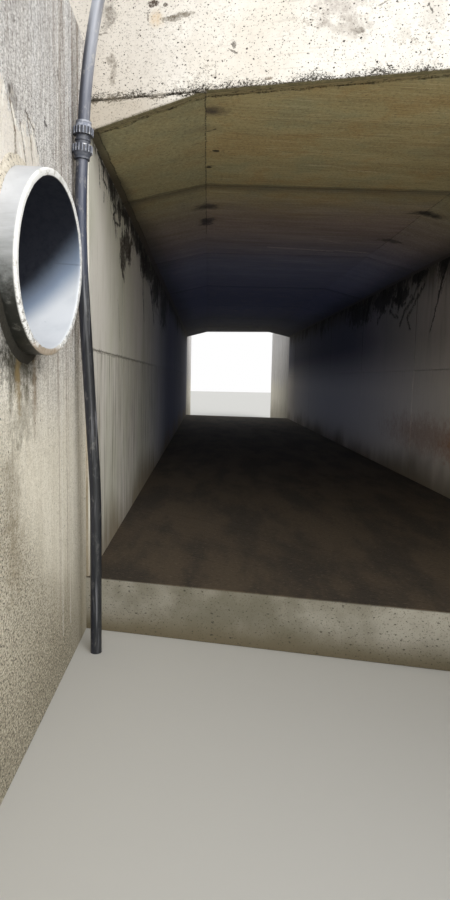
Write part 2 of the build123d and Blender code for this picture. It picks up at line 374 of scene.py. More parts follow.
def dress(finish, *nodes):
    """Gives CAD nodes their finish."""
    for name in nodes:
        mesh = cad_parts[name].data
        mesh.materials.clear()
        mesh.materials.append(finish)


def bays(name):
    """The names of a piece's seven bays."""
    return [f"{name}_{bay}" for bay in range(1, 8)]


slab_top = 0.3
finish, place = new_finish("base_concrete")
x, y, z = axes(place)
skin = skin_on(place, flat_place(x + y, z), 0.5)
side = coats(
    tint(fade(skin["Mottle"], 0.35, 0.65), (120, 116, 101), (168, 164, 152)),
    ((110, 101, 80), fade(z, 0.17, 0.0)),
    ((60, 56, 48), skin["Holes"], 0.7),
    ((92, 86, 70), fade(skin["Grain"], 0.56, 0.68), 0.5),
)
film = grain(place, 2.2, 6, 0.6, (1.6, 0.5, 1.0))
pebbles = grain(place, 46, 4, 0.7)
top = coats(
    tint(fade(film, 0.38, 0.62), (58, 50, 41), (82, 70, 55)),
    ((112, 100, 82), fade(pebbles, 0.56, 0.68), 0.45),
    ((34, 29, 24), fade(pebbles, 0.44, 0.34), 0.5),
)
colour = tint(fade(z, slab_top - 0.012, slab_top - 0.002), side, top)
close_finish(finish, colour, 0.95, pebbles * 2.0 + skin["Height"])
dress(finish, *bays("base_slab"))


# ----------------------------------------
# Barrel walls. Each is cast in bays, with the haunch on top and a pour joint half way up; steel
# shutters left them smooth above the joint and ribbed below. Mould runs down from the haunch,
# and the ends that show at the portals have the pale face of the headwall.
inner_x, outer_x = 1.5, 1.8
soffit, haunch_foot, pour_joint = 2.8, 2.65, 1.55
haunch_edge, haunch_slope = 0.9, 0.25
skew_angle = math.radians(15)
skew, skew_cos = math.tan(skew_angle), math.cos(skew_angle)
near_middle = -inner_x * skew
far_middle = 15.15 + 0.402
joint_line = (1.325, 3.825, 6.325, 8.825, 11.325, 13.825)


def off_portals(x, y):
    """How far a place is inside the nearer portal's face, along the barrel."""
    return maths("MINIMUM", x * skew + (y - near_middle), far_middle - (x * skew + y))


# Portal face: bleached concrete, pitted with air holes, with mould along its lower edge and the
# broken line of the pour on each side of the opening.
portal_face, place = effect("portal_face", {"Place": zero}, "Colour", "Height")
x, _, z = axes(place)
above = z - soffit
skin = skin_on(place, flat_place(x, z), 0.55)
clouds = grain(place, 3.1, 4, 0.65, (1, 1, 1.4))
hairs = grain(place, 22, 4, 0.65, (0.22, 0.22, 3.6))
pinker = fade(clouds * 0.8 + x, -0.35, -0.85)
cloudy = fade(clouds, 0.53, 0.68)
blotchy = fade(grain(place, 34, 3, 0.7), 0.48, 0.6)
dust = grain(place, 80, 3, 0.8, (1, 1, 1.5))
dusty = cloudy * -0.05 + (pinker * -0.025 + 0.605)
specks = grain(place, 56, 4, 0.75, (1, 1, 1.3), 1.8)
clumps = grain(place, 6, 3, 0.6)
speck_level = fade((clumps - 0.5) * -0.14 + above, -0.005, 0.08, 0.452, 0.7)
mould = fade(specks, speck_level, speck_level + 0.035) * fade(above, -0.004, 0.004)
rim = fade(above, 0.015, 0.006) * fade(above, -0.006, -0.001) * fade(specks, 0.38, 0.5)
beside = fade(abs(x), 0.88, 0.95)
wander = (grain(place, 16, 5, 0.75) - 0.5) * 0.085
lift = fade(abs(above + wander), 0.0078, 0.0032) * beside * fade(specks, 0.36, 0.46)
left_out = fade(x, -1.0, -1.25) * fade(above, 0.02, -0.02, 0.12, 1.0)
below_level = fade(above, 0.0, -0.1, 0.56, 0.68)
drips = fade(specks, below_level, below_level + 0.05) * fade(above, 0.004, -0.004)
arris = abs((inner_x - abs(x)) * -haunch_slope + z - haunch_foot)
arris = fade(arris, 0.02, 0.006) * fade(specks, 0.5, 0.58) * beside
grime = fade(grain(place, 8, 3, 0.7, (1, 1, 0.3)), 0.35, 0.6, 0.4, 1.0)
colour = coats(
    tint(fade(skin["Mottle"], 0.36, 0.62), (244, 237, 225), (255, 251, 243)),
    ((226, 219, 209), pinker, 0.75),
    ((206, 198, 186), (cloudy * 0.75 + 0.25) * blotchy, 0.55),
    ((196, 188, 176), fade(hairs, 0.6, 0.72), 0.36),
    ((112, 102, 92), fade(dust, dusty, dusty + 0.05), 0.65),
    ((48, 42, 36), skin["Holes"], 1.0),
    ((58, 51, 38), mould, 0.95),
    ((82, 72, 54), rim, beside * -0.65 + 0.8),
    ((44, 38, 30), lift, 1.0),
    ((188, 176, 156), left_out, 0.52),
    ((88, 78, 62), drips, 0.8),
    ((96, 86, 68), arris, 0.7),
    ((140, 128, 102), fade(z, 2.2, 1.0) * grime, 0.75),
)
give(portal_face, Colour=colour, Height=hairs * 1.0 + skin["Height"] - (mould + lift) * 2.5)

# Soffit: smooth shuttered concrete with fine streaks across the barrel and a thin film of algae,
# with the drip groove behind each portal drawn as broken, wandering lines of painted shade, the
# seams of the bays, and a few single marks. Painted shade makes it bluer and darker further in.
soffit_stains = {
    "lip": [
        (-0.865, 0.06, 0.115, 0.095, 0.4, 0.95, 0.85, (66, 57, 56)),
    ],
    "left": [
        (-0.905, 0.289, 0.16, 0.09, 0.5, 0.95, 0.3, (104, 96, 80)),
        (-0.89, 1.905, 0.13, 0.12, 0.6, 0.7, 0.8, (56, 50, 52)),
        (-0.9, 2.4, 0.1, 0.18, 0.8, 0.7, 0.85, (48, 43, 50)),
    ],
    "middle": [
        (-0.832, 0.643, 0.026, 0.02, 0.5, 0.4, 0.95, (28, 24, 16)),
        (-0.88, 0.945, 0.022, 0.022, 0.5, 0.4, 0.95, (28, 24, 16)),
    ],
    "right": [
        (0.92, 1.915, 0.22, 0.1, 0.5, 0.8, 0.9, (40, 37, 35)),
        (0.9, 2.95, 0.14, 0.09, 0.7, 0.6, 0.6, (40, 38, 36)),
        (0.95, 0.45, 0.85, 0.45, 0.35, 0.95, 0.42, (150, 112, 62)),
    ],
}
soffit_lines = {
    "lip": [
        (((-0.9, -0.16), (-0.9, 0.3)), 0.006, 0.003, 0.4, 0.85, (46, 40, 30)),
    ],
    "left": [
        (((-0.9, -0.16), (-0.9, 2.9)), 0.006, 0.003, 0.5, 0.85, (46, 40, 30)),
        (((-0.89, 0.335), (-0.842, 0.298)), 0.007, 0.004, 0.1, 0.8, (48, 42, 32)),
        (((-0.985, 0.505), (-0.94, 0.491)), 0.006, 0.006, 0.1, 0.6, (60, 54, 42)),
        (((-0.945, 0.735), (-0.905, 0.726)), 0.006, 0.006, 0.1, 0.6, (60, 54, 42)),
    ],
    "middle": [
        (((-0.87, 0.648), (-0.795, 0.64)), 0.007, 0.004, 0.3, 0.5, (48, 42, 32)),
        (((-0.893, 0.926), (-0.84, 0.921)), 0.008, 0.004, 0.1, 0.8, (44, 38, 28)),
        (((-0.66, 0.12), (-0.615, 0.115)), 0.005, 0.003, 0.1, 0.6, (70, 64, 46)),
        (((-0.126, 0.836), (0.014, 0.882)), 0.007, 0.003, 0.6, 0.7, (222, 212, 176)),
        (((0.042, 0.92), (0.236, 0.943)), 0.008, 0.003, 0.55, 0.8, (226, 216, 180)),
        (((-0.069, 1.415), (0.171, 1.42)), 0.012, 0.004, 0.6, 0.6, (206, 196, 170)),
        (((0.222, 2.985), (0.454, 3.142)), 0.022, 0.006, 0.65, 0.7, (232, 214, 206)),
        (((-0.251, 3.429), (0.452, 3.547)), 0.024, 0.006, 0.5, 0.9, (238, 220, 210)),
        (((0.462, 3.492), (0.856, 3.601)), 0.024, 0.006, 0.55, 0.8, (238, 220, 210)),
        (((-0.101, 4.145), (0.414, 4.199)), 0.024, 0.006, 0.6, 0.6, (214, 204, 214)),
    ],
    "right": [
        (((0.9, -0.5), (0.9, 3.4)), 0.006, 0.0035, 0.5, 0.8, (46, 40, 30)),
    ],
}


def soffit_colour(place, *sides):
    """The soffit's look with the single marks of some of its sides."""
    x, y, _ = axes(place)
    colour = use(soffit_look, {"Place": place})["Colour"]
    marks = [mark for side in sides for mark in soffit_stains[side]]
    colour = stains(place, colour, on_plane(2, soffit, right_through, marks))
    return lines(flat_place(x, y), colour, [run for side in sides for run in soffit_lines[side]])


soffit_look, place = effect("soffit_look", {"Place": zero}, "Colour", "Height")
x, y, _ = axes(place)
skin = skin_on(place, flat_place(x, y), 0.12)
leaning = output("VectorRotate", {"Vector": place, "Angle": -0.05}, rotation_type="Z_AXIS")
across = grain(leaning, 14, 4, 0.62, (0.26, 7.0, 1.0))
bands = fade(grain(leaning, 3, 4, 0.6, (0.3, 1.9, 1.0)), 0.35, 0.65)
patches = grain(place, 2.6, 4, 0.68)
pores = grain(place, 55, 4, 0.75)
olive = coats(
    tint(bands, (176, 160, 116), (190, 176, 130)),
    ((158, 160, 128), fade(patches, 0.5, 0.62), 0.42),
    ((180, 146, 92), fade(patches, 0.48, 0.36), 0.46),
)
mauve = tint(bands, (160, 140, 128), (180, 160, 150))
slate = tint(bands, (140, 140, 160), (154, 152, 172))
under_haunch = fade(abs(x), haunch_edge - 0.004, haunch_edge + 0.004)
grain_on = under_haunch * -0.75 + 1.0
colour = tint(fade(patches * 0.8 + y, 1.6, 2.9), olive, mauve)
colour = coats(
    # painted shade: from slate on, the soffit turns bluer and darker further into the barrel
    tint(fade(y, 2.4, 4.6), colour, slate),
    ((98, 100, 132), fade(y, 4.5, 8.0), 0.9),
    ((58, 60, 86), fade(y, 9.0, 12.0), 0.8),
    ((26, 27, 42), fade(y, 12.0, 14.6), 0.75),
    ((120, 104, 70), fade(across, 0.52, 0.66) * grain_on, 0.42),
    ((226, 214, 172), fade(across, 0.44, 0.32) * grain_on, 0.5),
    ((150, 148, 118), under_haunch * fade(y, 3.6, 1.6), 0.35),
    ((96, 88, 70), fade(skin["Grain"], 0.57, 0.68), 0.35),
    ((104, 95, 68), fade(pores, 0.53, 0.64), 0.48),
    ((210, 198, 158), fade(pores, 0.46, 0.35), 0.42),
    ((60, 54, 42), skin["Holes"], 0.6),
)
# each seam's half width, and the strength of its gap and of the shade past it
seam_looks = ((0.04, 0.5, 0.5), (0.026, 0.25, 0.1), (0.026, 0.5, 0.25)) + 3 * ((0.026, 0.5, 0.0),)
joint_sway = (grain(place, 5, 3, 0.65) - 0.5) * 0.05
for joint_y, (half_width, gap_strength, shade_strength) in zip(joint_line, seam_looks):
    past = y - joint_y
    gap = fade(abs(past + joint_sway), half_width, 0.4 * half_width)
    colour = lay(colour, (44, 38, 30), gap, gap_strength)
    if shade_strength:
        shade = fade(past, 0.0, 0.02) * fade(past, 0.2, 0.03)
        colour = lay(colour, (74, 66, 56), shade, shade_strength)
behind = off_portals(x, y) * skew_cos
crust = grain(place, 48, 3, 0.75)
waver = (grain(place, 8, 5, 0.72) - 0.5) * 0.12
# painted shade: two wandering dark lines stand for the drip groove's shadow behind the portal
groove = fade(abs(behind - 0.054 + waver), 0.009, 0.002)
second_groove = fade(abs(behind - 0.036 - waver), 0.008, 0.002)
colour = coats(
    colour,
    ((136, 124, 92), fade(behind, 0.056, 0.048), 0.65),
    ((96, 89, 62), fade(behind, 0.02, 0.011), fade(crust, 0.4, 0.55, 0.75, 1.0)),
    ((58, 52, 36), groove, fade(crust, 0.38, 0.56, 0.25, 0.85)),
    ((58, 52, 36), second_groove, fade(crust, 0.44, 0.58, 0.0, 0.9)),
)
give(soffit_look, Colour=colour, Height=across * 0.8 + skin["Height"])

# Mould runs: dark threads that start at an edge, lean and split, and thin out on their way down.
mould_runs, along, drop, reach, share = effect(
    "mould_runs", {"Along": 0.0, "Drop": 0.0, "Reach": 0.5, "Share": 0.5}, "Mask"
)
lane = flat_place(along, drop)
patches = grain(lane, 1.9, 3, 0.6, (1.0, 0.45, 1.0))
threads = grain(lane, 10, 5, 0.78, (1.0, 0.3, 1.0), 2.2)
flecks = grain(lane, 38, 4, 0.75, (1.0, 0.4, 1.0), 0.8)
strength = patches * 0.9 + (threads * 0.7 + flecks * 0.3)
level = drop / reach * 0.3 + (1.28 - share * 0.6)
give(mould_runs, Mask=fade(strength, level, level + 0.04) * fade(drop, -0.004, 0.004))

# Single runs and patches of mould on the two walls: places are along the barrel and up the wall.
mould_black, mould_brown = (34, 31, 28), (50, 39, 34)
mould_patch = (1.0, 0.18, 0.95, mould_black)
wall_stains = {
    "left": [
        (0.8, 2.61, 0.13, 0.07, *mould_patch),
        (1.15, 2.55, 0.12, 0.08, *mould_patch),
        (1.55, 2.6, 0.26, 0.07, *mould_patch),
        (1.34, 2.29, 0.17, 0.15, 1.0, 0.18, 1.0, mould_brown),
        (1.62, 2.41, 0.22, 0.13, 1.0, 0.18, 1.0, mould_brown),
        (2.3, 2.58, 0.5, 0.1, *mould_patch),
        (2.75, 2.5, 0.26, 0.16, *mould_patch),
        (3.3, 2.52, 0.55, 0.15, 1.0, 0.3, 0.95, mould_black),
        (4.2, 2.42, 0.7, 0.26, 1.0, 0.5, 0.95, mould_black),
        (5.6, 2.35, 1.0, 0.34, 1.0, 0.6, 0.95, mould_black),
    ],
    "right": [
        (3.8, 2.6, 0.3, 0.07, *mould_patch),
        (4.45, 2.46, 0.34, 0.13, *mould_patch),
        (5.3, 2.5, 0.6, 0.16, 1.0, 0.3, 0.95, mould_black),
        (6.6, 2.45, 0.9, 0.22, 1.0, 0.5, 0.9, mould_black),
        (3.05, 2.62, 0.12, 0.05, *mould_patch),
        (3.3, 0.84, 2.2, 0.3, 0.45, 0.9, 0.6, (168, 112, 66)),
        (2.3, 0.8, 0.9, 0.26, 0.45, 0.9, 0.6, (196, 120, 54)),
    ],
}
thread = (0.014, 0.01, 0.12, 0.95, mould_black)
broad_run = (0.048, 0.03, 0.5, 0.95, mould_black)
wall_lines = {
    "left": [
        (((0.257, 2.65), (0.39, 2.65), (0.496, 2.633), (0.46, 2.565), (0.609, 2.552)), *thread),
        (((0.322, 2.622), (0.354, 2.49)), *thread),
        (((0.496, 2.496), (0.495, 2.445)), *thread),
        (
            ((0.729, 2.598), (0.856, 2.598), (0.813, 2.542), (0.993, 2.52), (0.857, 2.447),
             (0.947, 2.431), (1.19, 2.461)), *thread,
        ),
        (((1.088, 2.577), (1.293, 2.583), (1.576, 2.61)), 0.03, 0.016, 0.1, 0.95, mould_black),
        (((1.25, 2.2), (1.412, 2.13)), 0.03, 0.016, 0.2, 0.9, mould_brown),
        (((1.645, 2.326), (1.902, 2.516)), 0.045, 0.02, 0.1, 0.95, mould_brown),
        (((1.096, 1.939), (1.202, 1.669)), 0.008, 0.004, 0.2, 0.6, mould_black),
        (((2.511, 2.62), (2.789, 2.5), (3.091, 2.427)), *broad_run),
        (((2.789, 2.48), (2.808, 2.193)), *broad_run),
        (((2.808, 2.193), (2.917, 1.986)), 0.03, 0.02, 0.3, 0.9, mould_black),
        (((3.539, 2.393), (3.797, 2.266), (4.084, 2.049)), *broad_run),
    ],
    "right": [
        (((2.978, 2.61), (3.129, 2.357)), 0.04, 0.02, 0.1, 0.95, mould_black),
        (((3.129, 2.357), (3.285, 2.069)), 0.026, 0.02, 0.15, 0.95, mould_black),
        (((3.285, 2.069), (3.36, 1.95)), 0.016, 0.02, 0.3, 0.9, mould_black),
        (((3.6, 2.486), (3.814, 2.373), (4.179, 2.173)), *broad_run),
        (((4.179, 2.173), (4.045, 2.045)), 0.03, 0.02, 0.3, 0.9, mould_black),
        (((3.771, 2.56), (4.025, 2.365), (4.273, 2.277)), *broad_run),
        (((4.273, 2.277), (4.445, 2.113)), 0.04, 0.02, 0.3, 0.9, mould_black),
        (((4.717, 2.474), (4.912, 2.319)), *broad_run),
        (((4.912, 2.319), (4.544, 2.208)), 0.03, 0.02, 0.4, 0.85, mould_black),
        (((5.209, 2.403), (5.5, 2.25)), *broad_run),
        (((5.987, 2.603), (6.174, 2.331)), 0.07, 0.03, 0.2, 0.9, mould_black),
    ],
}
weathered = (162, 157, 145), (184, 179, 167)
for side, pale, green, rib_strength in (
    ("left", (228, 225, 218), (214, 214, 200), 0.6),
    ("right", (238, 226, 216), (222, 214, 200), 0.3),
):
    finish, place = new_finish(f"{side}_wall_concrete")
    x, y, z = axes(place)
    face = flat_place(y, z)
    skin = skin_on(place, face, 0.25)
    faint = grain(place, 7, 4, 0.65, (1, 1, 0.12))
    fine = grain(place, 40, 4, 0.7, (1, 1, 0.1))
    broad = grain(place, 0.9, 3, 0.6, (1, 1, 0.6))
    ribs = grain(place, 30, 3, 0.6, (1, 1, 0.05))
    lower = fade(z, pour_joint + 0.004, pour_joint - 0.004)
    wobbly = (grain(place, 9, 4, 0.7) - 0.5) * 0.05
    joint = fade(abs(z - pour_joint + wobbly), 0.014, 0.006) * fade(fine, 0.4, 0.52)
    colour = coats(
        tint(fade(broad, 0.38, 0.62), pale, green),
        ((170, 167, 148), fade(faint, 0.5, 0.75), 0.4),
        ((176, 172, 156), fade(fine, 0.54, 0.68), 0.35),
        # painted shade: bluer and darker further into the barrel
        ((104, 106, 132), fade(y, 3.2, 7.4) * fade(y, 16.3, 15.5), 0.9),
        ((112, 104, 88), lower * fade(ribs, 0.5, 0.64), rib_strength),
        ((70, 64, 54), joint, fade(y, 5.0, 3.2, 0.0, 0.5)),
        *[((56, 52, 44), fade(abs(y - joint_y), 0.016, 0.008), 0.75) for joint_y in joint_line],
    )
    # painted shade and light: the right wall is a darker shaded copy above and a paler lit copy low
    # down
    if side == "right":
        shaded = tint(0.36, colour, (60, 54, 50))
        colour = tint(fade(z, 2.0, 1.2), shaded, tint(0.8, colour, (255, 246, 232)))
    rise = broad * -1.1 + z
    drop = haunch_foot - z
    reach_down = fade(y, 0.6, 3.0, 0.06, 0.36)
    run_feeds = {"Along": drop * -0.5 + y, "Drop": drop, "Reach": 0.55, "Share": 0.62}
    colour = coats(
        colour,
        ((128, 112, 86), fade(rise, 0.1, -0.35), 0.75),
        # part mould, part painted shade: a dark band under the haunch that reaches lower further in
        ((76, 68, 54), fade((faint - 0.5) * -0.5 + drop, reach_down, -0.05), 0.85),
        (mould_black, use(mould_runs, run_feeds)["Mask"], 0.85),
    )
    colour = stains(place, colour, on_plane(0, 0, right_through, wall_stains[side]), 0.25)
    colour = lines(face, colour, wall_lines[side])
    # The haunch above the wall has the soffit's look, and is darker where it meets the wall: dirt and
    # painted shade. The line of the shutter's edge runs a little way up it, with damp dirt below.
    foot = (broad - 0.5) * 0.25 + abs(x)
    foot = fade(foot, inner_x - fade(y, 0.8, 3.5, 0.1, 0.42), inner_x - 0.01)
    foot_tone = tint(fade(y, 2.0, 4.0), (66, 60, 48), (48, 47, 58))
    up_haunch = (faint - 0.5) * 0.03 + (inner_x - 0.045 - abs(x))
    edge_line = fade(abs(up_haunch), 0.005, 0.002) * fade(y, 3.2, 2.4)
    haunch = coats(
        soffit_colour(place, side),
        (foot_tone, foot, 0.75),
        ((82, 74, 60), fade(up_haunch, 0.004, -0.004) * fade(y, -0.1, 0.9, 0.35, 0.68)),
        ((46, 40, 30), edge_line * fade(fine, 0.36, 0.5), 0.7),
    )
    colour = tint(fade(abs(x), inner_x - 0.001, inner_x - 0.006), colour, haunch)
    # the outer side is plain weathered concrete
    outer_side = coats(
        tint(fade(skin["Mottle"], 0.25, 0.75), *weathered),
        ((136, 128, 110), fade(faint, 0.46, 0.72), 0.3),
        ((112, 100, 78), fade(rise, 0.5, -0.4), 0.7),
    )
    colour = tint(fade(abs(x), outer_x - 0.012, outer_x - 0.004), colour, outer_side)
    # the end that shows at a portal has the headwall's face
    face_look = use(portal_face, {"Place": place})
    colour = tint(fade(off_portals(x, y), 0.006, 0.003), colour, face_look["Colour"])
    close_finish(finish, colour, 0.9, lower * ribs * 2.5 + skin["Height"])
    dress(finish, *bays(f"{side}_wall"))


# ----------------------------------------
# Roof slabs. Cast on the walls between the two headwalls, one to a bay, with chamfered joints.
# The underside is a smooth soffit; the top was floated and has weathered grey.
finish, place = new_finish("roof_concrete")
x, y, z = axes(place)
under = use(soffit_look, {"Place": place})
skin = skin_on(place, flat_place(x, y), 0.3)
weather = coats(
    tint(fade(skin["Mottle"], 0.25, 0.75), *weathered),
    ((110, 106, 92), fade(skin["Grain"], 0.5, 0.7), 0.35),
    ((130, 126, 110), fade(grain(place, 1.1, 5, 0.6), 0.46, 0.72), 0.35),
)
above = fade(z, soffit + 0.016, soffit + 0.022)
colour = tint(above, soffit_colour(place, "left", "middle", "right"), weather)
height = output("Mix", {0: above, 2: under["Height"], 3: skin["Height"]})
close_finish(finish, colour, 0.88, height)
dress(finish, *bays("roof_slab"))


# ----------------------------------------
# Headwalls. A deep beam and upstand over each portal, cast against sawn boards and bleached
# nearly white, with rust and water marks from above and a drip groove under the edge.
rust, rust_pale = (66, 50, 36), (226, 204, 172)
headwall_stains = [
    (-1.385, 3.23, 0.045, 0.11, 1.0, 0.6, 0.85, (132, 124, 114)),
    (-1.38, 2.99, 0.04, 0.045, 1.0, 0.4, 0.75, (132, 122, 110)),
    (-1.37, 2.905, 0.022, 0.06, 1.0, 0.6, 0.65, (132, 122, 108)),
    (-1.15, 3.165, 0.05, 0.055, 0.5, 0.8, 0.8, rust_pale),
    (-1.165, 3.232, 0.03, 0.02, 1.0, 0.3, 0.95, rust),
    (-1.105, 3.222, 0.016, 0.012, 1.0, 0.3, 0.95, rust),
    (-1.19, 3.175, 0.006, 0.03, 1.0, 0.4, 0.7, rust),
    (-1.075, 3.155, 0.055, 0.014, 1.0, 0.5, 0.85, (112, 102, 86)),
    (-1.02, 3.165, 0.06, 0.012, 1.0, 0.5, 0.75, (120, 110, 94)),
    (-0.985, 3.17, 0.04, 0.01, 1.0, 0.5, 0.6, (120, 110, 94)),
    (-0.765, 3.0, 0.01, 0.02, 1.0, 0.4, 0.85, (84, 76, 66)),
    (-0.193, 3.011, 0.028, 0.02, 1.0, 0.4, 0.85, (104, 96, 84)),
    (-0.3, 3.13, 0.17, 0.1, 1.0, 0.9, 0.7, (186, 176, 168)),
    (-0.22, 3.03, 0.15, 0.07, 1.0, 0.9, 0.65, (180, 170, 160)),
    (0.02, 3.155, 0.055, 0.03, 1.0, 0.4, 0.8, (96, 82, 70)),
    (0.13, 3.06, 0.08, 0.12, 1.0, 0.9, 0.35, (190, 182, 172)),
    (-0.6, 2.836, 0.034, 0.012, 1.0, 0.4, 0.8, (116, 98, 76)),
    (-1.38, 2.76, 0.11, 0.12, 0.5, 0.9, 0.6, (196, 184, 164)),
]
headwall_lines = [
    (((-0.852, 2.938), (-0.85, 2.868)), 0.0045, 0.002, 0.55, 0.6, (96, 92, 86)),
    (((-0.14, 3.1), (-0.06, 3.135)), 0.006, 0.005, 0.35, 0.7, (120, 112, 100)),
    (((0.098, 3.09), (0.112, 3.055)), 0.006, 0.006, 0.1, 0.85, (70, 66, 58)),
    (((-0.785, 2.985), (-0.75, 2.965)), 0.005, 0.006, 0.1, 0.8, (84, 78, 68)),
    (((-1.45, 3.115), (-1.4, 3.12)), 0.006, 0.004, 0.2, 0.7, (120, 112, 98)),
]
top_edge = 3.6
for end in ("near", "far"):
    finish, place = new_finish(f"{end}_headwall_concrete")
    x, _, z = axes(place)
    face = use(portal_face, {"Place": place})
    under = use(soffit_look, {"Place": place})
    colour, under_colour = face["Colour"], under["Colour"]
    if end == "near":
        colour = stains(place, colour, on_plane(1, 0, right_through, headwall_stains), 0.4)
        colour = lines(flat_place(x, z), colour, headwall_lines)
        under_colour = soffit_colour(place, "lip")
    wash_feeds = {"Along": x, "Drop": top_edge - 0.02 - z, "Reach": 0.3, "Share": 0.55}
    crown = fade(grain(place, 5, 4) * 0.05 + z, top_edge - 0.02, top_edge + 0.01)
    colour = coats(
        colour,
        ((120, 114, 102), use(mould_runs, wash_feeds)["Mask"], 0.45),
        ((132, 126, 110), crown, 0.7),
    )
    over_gap = fade(abs(x), haunch_edge + 0.01, haunch_edge - 0.02)
    lip_only = maths("MAXIMUM", over_gap, fade(z, soffit + 0.0015, soffit + 0.0005))
    below = fade(z, soffit + 0.011, soffit + 0.007) * lip_only
    height = output("Mix", {0: below, 2: face["Height"], 3: under["Height"]})
    close_finish(finish, tint(below, colour, under_colour), 0.92, height)
    dress(finish, f"{end}_headwall")


# ----------------------------------------
# Wing walls. Cast against upright rough-sawn boards, so they are raked with fine upright ribs.
# The left near one was patched round the outlet pipe and is stained under it, darkest right under
# the pipe where painted shade lies on the stain, and the riser's shadow is painted beside the
# corner; low down the cement has worn off the stones.
wing_face = -1.52
wing_stains = [
    (-1.34, 2.09, 0.46, 0.22, 0.7, 0.3, 0.8, (248, 241, 230)),
    (-1.02, 2.16, 0.14, 0.15, 0.8, 0.35, 0.75, (248, 241, 230)),
    (-1.22, 2.31, 0.09, 0.05, 1.0, 0.6, 0.55, (112, 106, 100)),
    # painted shade under the pipe, over a dark stain
    (-1.22, 1.5, 0.36, 0.15, 0.4, 0.7, 1.0, (28, 27, 20)),
    (-1.18, 1.42, 0.3, 0.13, 0.7, 0.85, 0.75, (56, 52, 32)),
    (-1.16, 1.27, 0.2, 0.17, 1.0, 0.9, 0.5, (98, 92, 72)),
    (-1.31, 1.02, 0.16, 0.24, 0.8, 0.95, 0.5, (118, 108, 88)),
    (-1.27, 0.78, 0.18, 0.22, 0.8, 0.95, 0.5, (128, 116, 92)),
    (-1.005, 1.34, 0.045, 0.2, 0.6, 0.9, 0.65, (128, 106, 78)),
    (-1.215, 1.37, 0.05, 0.17, 0.5, 0.9, 0.8, (140, 118, 72)),
    (-0.806, 2.388, 0.016, 0.014, 0.4, 0.3, 0.95, (44, 36, 30)),
    (-0.78, 2.389, 0.016, 0.008, 0.4, 0.3, 0.95, (44, 36, 30)),
    (-0.806, 2.408, 0.01, 0.008, 0.4, 0.3, 0.8, (62, 54, 46)),
    (-0.579, 2.677, 0.012, 0.03, 0.5, 0.3, 0.9, (76, 64, 54)),
    (-1.262, 2.321, 0.016, 0.016, 0.4, 0.4, 0.85, (62, 56, 50)),
]
brown_seam, cream_ridge = (132, 118, 100), (255, 252, 244)
wing_lines = [
    # painted shadow: these first three lines are the riser's shadow on the wall
    (((-0.38, 2.62), (-0.32, 2.388)), 0.012, 0.003, 0.05, 0.6, (120, 104, 90)),
    (((-0.32, 2.388), (-0.216, 2.021)), 0.012, 0.003, 0.05, 0.75, (100, 88, 76)),
    (((-0.216, 2.021), (-0.104, 1.488)), 0.012, 0.003, 0.05, 0.75, (96, 84, 72)),
    (((-0.455, 2.95), (-0.46, 0.2)), 0.012, 0.003, 0.05, 0.45, (140, 124, 112)),
    (((-0.3, 2.95), (-0.305, 1.6)), 0.016, 0.003, 0.2, 0.45, (140, 124, 112)),
    (((-0.61, 2.95), (-0.615, 0.2)), 0.012, 0.003, 0.25, 0.4, (158, 142, 130)),
    (((-0.56, 2.95), (-0.565, 0.2)), 0.008, 0.003, 0.3, 0.5, (240, 237, 232)),
    (((-0.4, 2.95), (-0.405, 0.2)), 0.01, 0.003, 0.3, 0.5, (236, 232, 226)),
    (((-1.262, 2.3), (-1.207, 2.214)), 0.014, 0.008, 0.3, 0.75, brown_seam),
    (((-1.207, 2.214), (-1.199, 2.14)), 0.018, 0.008, 0.25, 0.75, brown_seam),
    (((-1.148, 2.262), (-1.104, 2.186), (-1.069, 2.13)), 0.009, 0.006, 0.3, 0.7, brown_seam),
    (((-1.06, 2.323), (-1.013, 2.245), (-0.989, 2.18)), 0.01, 0.006, 0.3, 0.7, brown_seam),
    (((-1.084, 2.333), (-0.97, 2.302), (-0.917, 2.243)), 0.01, 0.008, 0.45, 0.85, (80, 74, 68)),
    (((-1.316, 2.308), (-1.339, 2.245)), 0.014, 0.006, 0.1, 0.9, cream_ridge),
    (((-1.236, 2.278), (-1.19, 2.236)), 0.014, 0.006, 0.1, 0.9, cream_ridge),
    (((-1.125, 2.251), (-1.09, 2.214)), 0.013, 0.005, 0.05, 0.95, cream_ridge),
    (((-1.152, 2.183), (-1.119, 2.131)), 0.011, 0.006, 0.1, 0.9, cream_ridge),
    (((-0.997, 2.292), (-0.934, 2.19)), 0.009, 0.006, 0.2, 0.85, cream_ridge),
]
